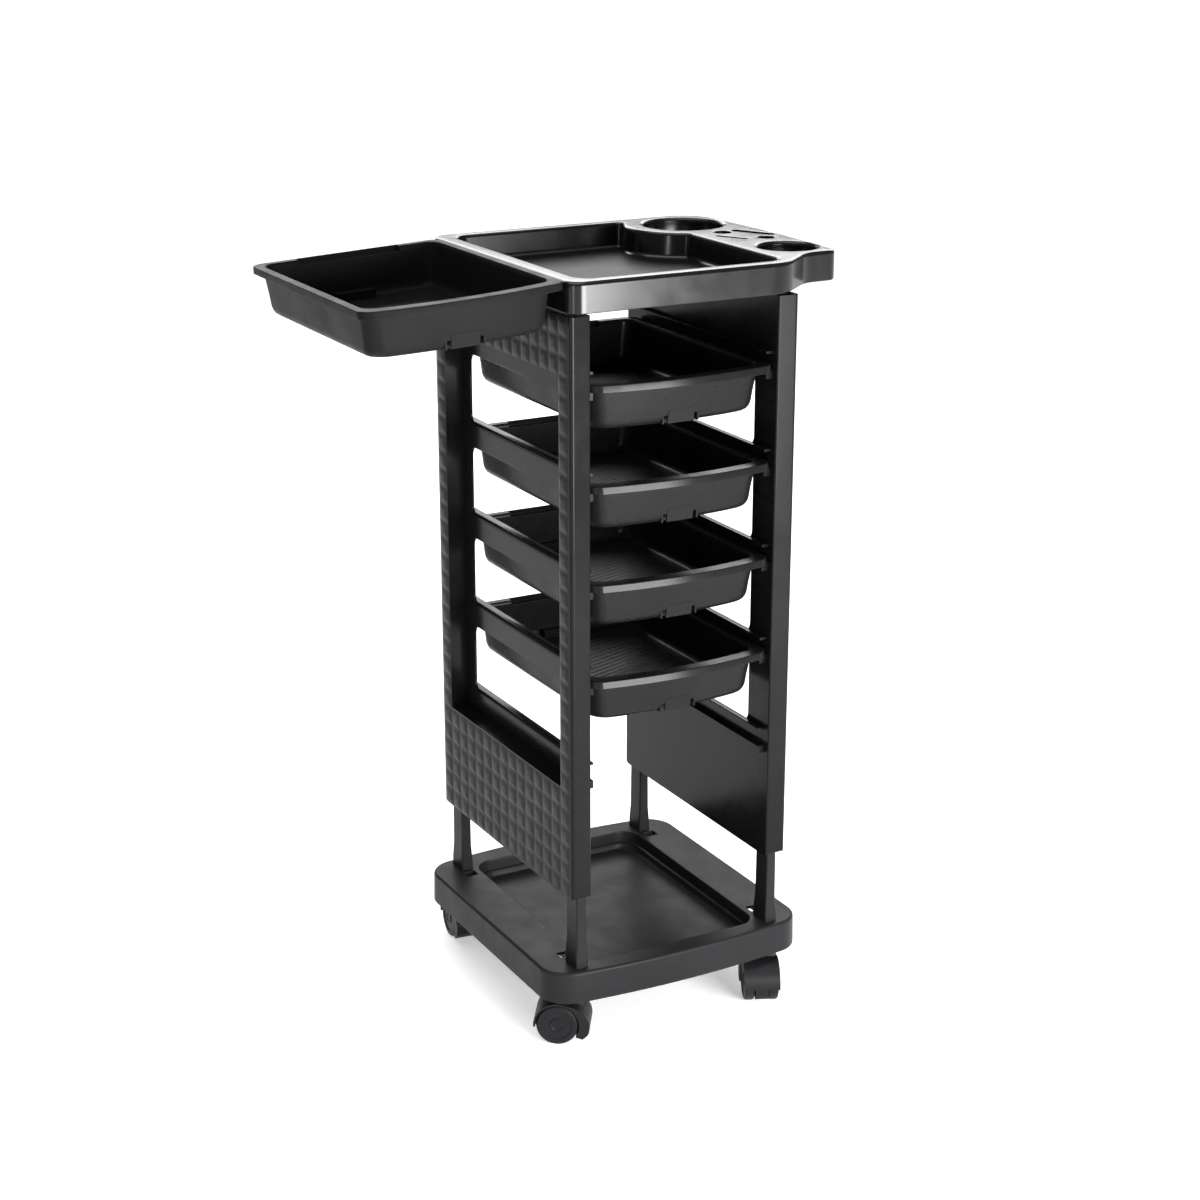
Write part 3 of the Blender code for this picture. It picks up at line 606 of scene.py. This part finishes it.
def runner_outline(side, top):
    """The C section of a runner, its upper outer edge well rounded."""
    outer, inner, lip = STILE_INNER + 0.0006, PLATE_INNER, RUNNER_INNER
    low = top - RUNNER_HEIGHT
    ledge = top - TRAY_DROP - TRAY_LIP - 0.0003
    bend = arc((outer - 0.006, top - 0.006), 0.006, 0, math.radians(90), 6)
    points = ([(lip, low), (outer - 0.001, low), (outer, low + 0.001)] + bend
              + [(lip + 0.0008, top), (lip, top - 0.0008), (lip, top - 0.003), (inner, top - 0.003),
                 (inner, ledge), (lip, ledge)])
    return [(side * x, z) for x, z in points]


def build_side(name, side):
    """A side moulding with its stiles, panels and runners, and the quilted relief outside."""
    face = SIDE_OUTER - QUILT_DEPTH
    end = SIDE_END
    plan = rounded([(side * PLATE_INNER, -end + 0.002, 0.0024), (side * face, -end, 0.0042),
                    (side * face, end, 0.0042), (side * PLATE_INNER, end - 0.002, 0.0005)], 6)
    if side < 0:
        plan.reverse()
    block = prism(name + "_block", plan, PANEL_LOW, STILE_TOP)
    profile = rounded([(-end - 0.001, PANEL_LOW, 0.010), (end + 0.001, PANEL_LOW, 0.010),
                       (end + 0.001, STILE_TOP, 0.003), (-end - 0.001, STILE_TOP, 0.003)], 5)
    low, high = sorted((side * (PLATE_INNER - 0.01), side * (face + 0.01)))
    steps = [("INTERSECT", prism(name + "_profile", profile, low, high, "X"))]
    low, high = sorted((side * STILE_INNER, side * (face + 0.01)))
    window = rectangle(-WINDOW_END, WINDOW_END, WINDOW_LOW, WINDOW_HIGH, 0.002, 3)
    steps.append(("DIFFERENCE", prism(name + "_window", window, low, high, "X")))
    low, high = sorted((side * (PLATE_INNER - 0.01), side * (face + 0.01)))
    for i in range(len(RUNNER_TOPS) - 1):
        opening = rectangle(-OPENING_END, OPENING_END, RUNNER_TOPS[i + 1] - 0.004,
                            RUNNER_TOPS[i] - RUNNER_HEIGHT, 0.011, 6)
        steps.append(("DIFFERENCE", prism(f"{name}_opening_{i}", opening, low, high, "X")))
    hollow_end = WINDOW_END - 0.003
    steps.append(("DIFFERENCE", box(name + "_hollow", side * (face - 0.0022),
                                    side * (STILE_INNER + 0.0025), -hollow_end, hollow_end,
                                    PANEL_LOW - 0.002, WINDOW_LOW - WALL)))
    for i, top in enumerate(RUNNER_TOPS):
        steps.append(("UNION", prism(f"{name}_runner_{i}", runner_outline(side, top),
                                     -RUNNER_END, RUNNER_END, "Y")))
    mesh = solved(name, block, steps, 0.0006, 2, 50.0)
    piece(name + "_moulding", mesh, [GLOSSY], "frame", name, slot="panel_black")
    piece(name + "_quilt", quilt_mesh(side), [QUILT], "frame", slot="panel_black")


# ---- Legs -----------------------------------------------------------------------------------
def build_leg(label, side, end):
    """A blade-like leg that flares towards its foot."""
    rings = []
    for z, grow in ((PANEL_LOW + 0.030, 0.0), (PANEL_LOW - 0.0003, 0.0), (BASE_TOP + 0.030, 0.0003),
                    (BASE_TOP + 0.010, 0.0015), (BASE_TOP - 0.010, 0.0015)):
        x0, x1 = sorted((side * (LEG_OUTER + grow), side * (LEG_OUTER - LEG_SIZE[0] - grow)))
        y0, y1 = sorted((end * (LEG_END + grow), end * (LEG_END - LEG_SIZE[1] - grow)))
        rings.append([(x, y, z) for x, y in rectangle(x0, x1, y0, y1, 0.0022, 5)])
    mesh = loft("leg_" + label, rings)
    smooth(mesh)
    piece(f"leg_{label}_moulding", mesh, [SATIN], "frame", "leg_" + label, slot="satin_black")


# ---- Base -----------------------------------------------------------------------------------
def build_base():
    """The base: a bowed skirt with a rounded rim, a sunk floor, leg holes and release slots."""
    wide, deep = BASE_WIDE, BASE_DEEP

    def ring(inset, z):
        return tub_ring(wide - inset, -deep + inset, deep - inset, 0.030 - min(inset, 0.01), z,
                        BASE_BOW, BASE_BOW)

    def sunk(inset, z):
        return tub_ring(SUNK_HALF - inset, SUNK_FRONT + inset, SUNK_BACK - inset, 0.022, z)

    edge = [(0.0035 * (1 - math.sin(a)), 0.0035 * (1 - math.cos(a)))
            for a in (math.radians(18 * i) for i in range(6))]
    rings = [sunk(0.0085, BASE_FLOOR), sunk(0.0055, BASE_FLOOR + 0.0008),
             sunk(0.0040, BASE_FLOOR + 0.0035), sunk(0.0035, BASE_FLOOR + 0.0070),
             sunk(0.0008, BASE_FLOOR + 0.0080), sunk(0.0, BASE_TOP - 0.0020),
             sunk(-0.0006, BASE_TOP - 0.0006), sunk(-0.0020, BASE_TOP)]
    rings += [ring(inset, BASE_TOP - drop) for inset, drop in edge]
    rings += [ring(-0.0006, BASE_LOW + 0.0010), ring(0, BASE_LOW), ring(WALL, BASE_LOW),
              ring(0.001 + WALL, BASE_TOP - WALL - 0.001), sunk(-WALL, BASE_TOP - WALL - 0.001),
              sunk(-WALL + 0.003, BASE_FLOOR - WALL)]
    steps = []
    for label, (side, end) in CORNERS.items():
        steps.append(("UNION", box(label + "_block", side * BLOCK_X[0], side * BLOCK_X[1],
                                   end * BLOCK_Y[0], end * BLOCK_Y[1], BASE_LOW + 0.001,
                                   BASE_TOP - WALL)))
    for label, (side, end) in CORNERS.items():
        x0, x1 = side * (LEG_OUTER + LEG_GAP), side * (LEG_OUTER - LEG_SIZE[0] - LEG_GAP)
        y0, y1 = end * (LEG_END + LEG_GAP), end * (LEG_END - LEG_SIZE[1] - LEG_GAP)
        steps.append(("DIFFERENCE", box(label + "_leg_hole", x0, x1, y0, y1, BASE_TOP - 0.0138,
                                        BASE_TOP + 0.001)))
        steps.append(("DIFFERENCE", box(label + "_slot", side * SLOT_X[0], side * SLOT_X[1],
                                        end * SLOT_Y[0], end * SLOT_Y[1],
                                        BASE_TOP - SLOT_DEPTH, BASE_TOP + 0.001)))
        steps.append(("DIFFERENCE", cylinder(label + "_bore", side * BORE_AT[0],
                                             end * BORE_AT[1], BORE_RADIUS,
                                             BASE_LOW - 0.001, BASE_TOP - 0.017, 32)))
    mesh = solved("base", loft("base", rings), steps)
    piece("base_moulding", mesh, [SATIN], "frame", "base_tray", slot="satin_black")


# ---- Trays ----------------------------------------------------------------------------------
def tray_mesh():
    """A tray with its rim at z = 0: rounded tub, inverted channel round the edge, finger dip in
    the back rim and a release tab between two notches at the foot of the front and back."""
    half, front, back, skirt = TRAY_HALF_WIDTH, TRAY_FRONT, TRAY_BACK, TRAY_RIM_WALL

    def ring(side_in, front_in, back_in, radius, z, bow=TRAY_BOW):
        return tub_ring(half - side_in, front + front_in, back - back_in, radius, z, bow)

    inside = [ring(0.0300, 0.0350, 0.0280, 0.012, -0.0508, 0.007),
              ring(0.0245, 0.0295, 0.0225, 0.014, -0.0505, 0.008),
              ring(0.0205, 0.0255, 0.0185, 0.015, -0.0497, 0.009),
              ring(0.0175, 0.0225, 0.0155, 0.015, -0.0478, 0.009),
              ring(0.0156, 0.0206, 0.0136, 0.015, -0.0445, 0.009),
              ring(0.0148, 0.0198, 0.0128, 0.014, -0.0400, 0.009),
              ring(0.0132, 0.0182, 0.0122, 0.014, -0.0250, 0.011),
              ring(0.0111, 0.0161, 0.0112, 0.013, -0.0050),
              ring(0.0103, 0.0153, 0.0106, 0.013, -0.0012),
              ring(0.0090, 0.0140, 0.0094, 0.013, 0.0)]
    rim = [ring(0.0010, 0.0012, 0.0010, 0.014, 0.0), ring(0.0003, 0.0004, 0.0003, 0.014, -0.0003),
           ring(0.0, 0.0, 0.0, 0.014, -0.0010), ring(0.0, -0.0013, 0.0, 0.014, -TRAY_LIP + 0.0004),
           ring(0.0003, -0.0011, 0.0003, 0.014, -TRAY_LIP),
           ring(skirt, skirt, skirt, 0.012, -TRAY_LIP), ring(skirt, skirt, skirt, 0.012, -WALL)]
    outside = [ring(0.0079, 0.0125, 0.0080, 0.015, -WALL),
               ring(0.0095, 0.0142, 0.0089, 0.015, -0.0160, 0.0115),
               ring(0.0111, 0.0160, 0.0097, 0.016, -0.0300, 0.011),
               ring(0.0125, 0.0175, 0.0105, 0.016, -0.0430, 0.010),
               ring(0.0134, 0.0184, 0.0114, 0.017, -0.0470, 0.0095),
               ring(0.0150, 0.0200, 0.0130, 0.017, -0.0500, 0.009),
               ring(0.0178, 0.0228, 0.0158, 0.017, -0.0522, 0.0085),
               ring(0.0215, 0.0265, 0.0195, 0.016, -TRAY_DEPTH, 0.008),
               ring(0.0270, 0.0320, 0.0250, 0.014, -TRAY_DEPTH, 0.008)]
    reach = FINGER_HALF + skirt
    steps = [("UNION", box("finger_step", -reach, reach, back - 0.0100, back - skirt / 2,
                           -TRAY_LIP, -WALL / 2)),
             ("DIFFERENCE", box("finger_dip", -FINGER_HALF, FINGER_HALF, back - 0.0170,
                                back - skirt, -FINGER_DIP, 0.001))]
    for label, wall, lean, way in TAB_WALLS:
        far = wall + way * POCKET_DEPTH
        tab_top = POCKET_TOP + 0.0055
        slope = [(wall, tab_top), (wall + way * lean, TAB_LOW),
                 (wall + way * (lean + skirt), TAB_LOW), (wall + way * skirt, tab_top)]
        steps.append(("UNION", box(label + "_bump", -POCKET_HALF - skirt, POCKET_HALF + skirt,
                                   wall + way * skirt, far + way * skirt, -TRAY_DEPTH + 0.001,
                                   POCKET_TOP + skirt)))
        steps.append(("DIFFERENCE", box(label + "_pocket", -POCKET_HALF, POCKET_HALF,
                                        wall - way * skirt, far, -TRAY_DEPTH - 0.001, POCKET_TOP)))
        steps.append(("UNION", prism(label + "_tab", slope, -TAB_HALF, TAB_HALF, "X")))
    mesh = solved("tray", loft("tray_raw", inside + rim + outside), steps)
    for face in mesh.polygons:
        floor = face.normal.z > 0.95 and abs(face.center.z + 0.0506) < 0.0006
        lip = face.normal.y < -0.9 and -TRAY_LIP + 0.0002 < face.center.z < -0.0009
        face.material_index = 1 if floor else 2 if lip else 0
    bm = bmesh.new()
    bm.from_mesh(mesh)
    ribs(bm, [point[:2] for point in inside[0]], inside[0][0][2])
    bm.to_mesh(mesh)
    bm.free()
    return mesh


def build_trays():
    """The four trays on the runners, and the one that hangs beside the top."""
    mesh = tray_mesh()
    for i in range(TRAY_COUNT):
        low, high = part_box(f"tray_{i + 1}")
        middle = (low[0] + high[0]) / 2
        place = Matrix.Translation((middle, MIDDLE.y, high[2]))
        piece(f"tray_{i + 1}_moulding", mesh.copy(), [TRAY, RIBBED, LIP], f"tray_{i + 1}",
              f"tray_{i + 1}", place=place, slot="tray_black")
    low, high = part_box("side_tray")
    hang = Matrix.Translation((-TRAY_HALF_WIDTH, 0, 0))
    tilt = Matrix.Rotation(-SIDE_TRAY_SAG, 4, "Y")
    place = Matrix.Translation((high[0], MIDDLE.y, high[2])) @ tilt @ hang
    piece("side_tray_moulding", mesh.copy(), [MATTE, RIBBED, MATTE], "side_tray", "side_tray",
          place=place, slot="tray_black")


# ---- Casters --------------------------------------------------------------------------------
def joint(name):
    """One joint of the frame, by name."""
    return next(found for found in frame["joints"] if found["name"] == name)


def hood_side():
    """The hood seen from the side: a shell over the wheels that swells round the stem."""
    x, z = TRAIL, WHEEL_RADIUS
    over_wheels = arc((x, z), HOOD_RADIUS, math.radians(-4), math.radians(112), 26)
    swell = [(x - 0.0200, z + 0.0228), (x - 0.0250, z + 0.0200), (x - 0.0290, z + 0.0165),
             (x - 0.0328, z + 0.0121), (x - 0.0355, z + 0.0070), (x - 0.0368, z + 0.0020),
             (x - 0.0370, z - 0.0030), (x - 0.0362, z - 0.0074), (x - 0.0345, z - 0.0110),
             (x - 0.0290, z - 0.0160)]
    return over_wheels + swell + arc((x, z), HOOD_INNER, math.radians(213), math.radians(-4), 40)


def wheel_profile(sign):
    """Half of a twin wheel: dished outer face with a hub ring, rounded tread, open bore."""
    tread = arc((WHEEL_RADIUS - 0.0030, WHEEL_OUTER - 0.0032), 0.0030, math.radians(80), 0, 5)
    points = [(0, WHEEL_OUTER - 0.0012), (0.0060, WHEEL_OUTER - 0.0010),
              (0.0068, WHEEL_OUTER - 0.0004), (0.0078, WHEEL_OUTER - 0.0004),
              (0.0085, WHEEL_OUTER - 0.0014), (0.0165, WHEEL_OUTER - 0.0012),
              (0.0172, WHEEL_OUTER - 0.0003), (0.0200, WHEEL_OUTER - 0.0002)]
    points += tread + [(WHEEL_RADIUS, WHEEL_INNER + 0.0015), (0.0233, WHEEL_INNER),
                       (0.0033, WHEEL_INNER), (0.0033, 0.0182), (0, 0.0182)]
    return [(radius, sign * y) for radius, y in points]


def build_caster(label):
    """A twin-wheel caster: stem, hood with boss and web, axle and two wheels."""
    name = "caster_" + label
    swivel = joint(name + "_swivel")
    spin = joint(f"wheel_{label}_left_spin")
    stem, axle = Vector(swivel["pos_m"]), Vector(spin["pos_m"])
    heading = math.atan2(axle.y - stem.y, axle.x - stem.x)
    at_stem = Matrix.Translation((stem.x, stem.y, 0)) @ Matrix.Rotation(heading, 4, "Z")
    at_axle = at_stem @ Matrix.Translation((TRAIL, 0, WHEEL_RADIUS))

    web = arc((TRAIL, WHEEL_RADIUS), HOOD_RADIUS - 0.0012, math.radians(-38), math.radians(218), 48)
    bore = cylinder(name + "_bore", 0, 0, 0.0043, 0.0337, 0.060, 32)
    pin = turned(name + "_pin", [(0, -0.03), (0.0033, -0.03), (0.0033, 0.03), (0, 0.03)], 32)
    pin.transform(Matrix.Translation((TRAIL, 0, WHEEL_RADIUS)))
    steps = [("UNION", prism(name + "_web", web, -0.0075, 0.0075, "Y")),
             ("UNION", cylinder(name + "_boss", 0, 0, 0.0083, 0.030, 0.0550, 48)),
             ("DIFFERENCE", bore), ("DIFFERENCE", pin)]
    shell = prism(name + "_shell", hood_side(), -HOOD_HALF_WIDTH, HOOD_HALF_WIDTH, "Y")
    mesh = solved(name + "_hood", shell, steps, 0.0012, 3, 50.0)
    piece(name + "_hood_moulding", mesh, [WHEEL], name, name + "_hood", place=at_stem,
          slot="wheel_black")
    rod = turned(name + "_rod", [(0, 0.0340), (0.0040, 0.0340), (0.0040, 0.0795), (0, 0.0795)], 32)
    rod.transform(Matrix.Rotation(math.radians(90), 4, "X"))
    smooth(rod)
    piece(name + "_stem_bar", rod, [STEEL], "frame", name + "_stem", place=at_stem,
          slot="bright_steel")
    bar = turned(name + "_bar", [(0, -0.0180), (0.0030, -0.0180), (0.0030, 0.0180), (0, 0.0180)],
                 32)
    smooth(bar)
    piece(name + "_axle_bar", bar, [STEEL], name, name + "_axle", place=at_axle,
          slot="bright_steel")
    for hand, sign in (("left", 1), ("right", -1)):
        wheel = turned(f"{name}_{hand}", wheel_profile(sign))
        smooth(wheel, 30)
        piece(f"{name}_wheel_{hand}_moulding", wheel, [WHEEL], f"wheel_{label}_{hand}",
              f"{name}_wheel_{hand}", place=at_axle, slot="wheel_black")
    frame["nodes"][name + "_grip_ring"].data.materials[0] = STEEL


# ---- Lights and camera ----------------------------------------------------------------------
def area_light(name, place, target, width, height, radiance):
    """A soft box of an even radiance that faces a target."""
    data = bpy.data.lights.new(name, "AREA")
    data.shape = "RECTANGLE"
    data.size = width
    data.size_y = height
    data.energy = radiance * math.pi * width * height
    light = bpy.data.objects.new(name, data)
    bpy.context.scene.collection.objects.link(light)
    light.location = place
    light.rotation_euler = (Vector(target) - Vector(place)).to_track_quat("-Z", "Y").to_euler()
    light.visible_camera = False


def build_studio():
    """A pale floor, an even pale world and soft boxes."""
    bm = bmesh.new()
    bmesh.ops.create_grid(bm, x_segments=1, y_segments=1, size=FLOOR_HALF)
    mesh = to_mesh("studio_floor", bm)
    pale = plastic("studio_floor", (0.86, 0.86, 0.86), (0.88, 0.88, 0.88), 0.85, 0.95,
                   40.0, 0.0, 0.1)
    shader = pale.node_tree.nodes["Principled BSDF"]
    shader.inputs["Emission Color"].default_value = (1, 1, 1, 1)
    shader.inputs["Emission Strength"].default_value = FLOOR_GLOW
    mesh.materials.append(pale)
    floor = bpy.data.objects.new("studio_floor", mesh)
    bpy.context.scene.collection.objects.link(floor)
    floor.location = (0, 0, -0.0002)

    world = bpy.data.worlds.new("studio")
    bpy.context.scene.world = world
    world.use_nodes = True
    back = world.node_tree.nodes["Background"]
    back.inputs["Color"].default_value = (1, 1, 1, 1)
    back.inputs["Strength"].default_value = WORLD_STRENGTH

    sky = bpy.data.lights.new("sky", "SUN")
    sky.energy = SKY_STRENGTH
    sky.angle = math.radians(70)
    above = bpy.data.objects.new("sky", sky)
    bpy.context.scene.collection.objects.link(above)
    above.rotation_euler = (0, math.radians(-8), 0)

    look = Vector((math.sin(-CAMERA_AZIMUTH), math.cos(CAMERA_AZIMUTH), 0))
    behind = look * 3.2 + Vector((0, 0, 2.3))
    area_light("rim_box", behind, (0, 0, 0.8), 4.0, 1.7, 4.5)
    area_light("front_box", (0.36, -1.95, 0.60), (0.0, 0, 0.60), 1.08, 1.00, 27.0)
    area_light("strip_box", (-2.05, -1.35, 0.75), (0, 0, 0.60), 0.12, 1.30, 12.0)


def build_camera():
    """The camera, in front and to the left, looking down a little."""
    data = bpy.data.cameras.new("camera")
    data.sensor_width = 36
    data.lens = CAMERA_LENS
    data.clip_end = 200
    camera = bpy.data.objects.new("camera", data)
    bpy.context.scene.collection.objects.link(camera)
    camera.location = CAMERA_PLACE + MIDDLE
    camera.rotation_euler = (math.radians(90) - CAMERA_DOWN, 0, CAMERA_AZIMUTH)
    bpy.context.scene.camera = camera


def main():
    """Build everything."""
    build_camera()
    build_top()
    build_side("side_panel_left", -1)
    build_side("side_panel_right", 1)
    build_base()
    build_trays()
    for label, (side, end) in CORNERS.items():
        build_leg(label, side, end)
        build_caster(label)
    build_studio()
    bpy.context.scene.view_settings.view_transform = "Standard"


main()
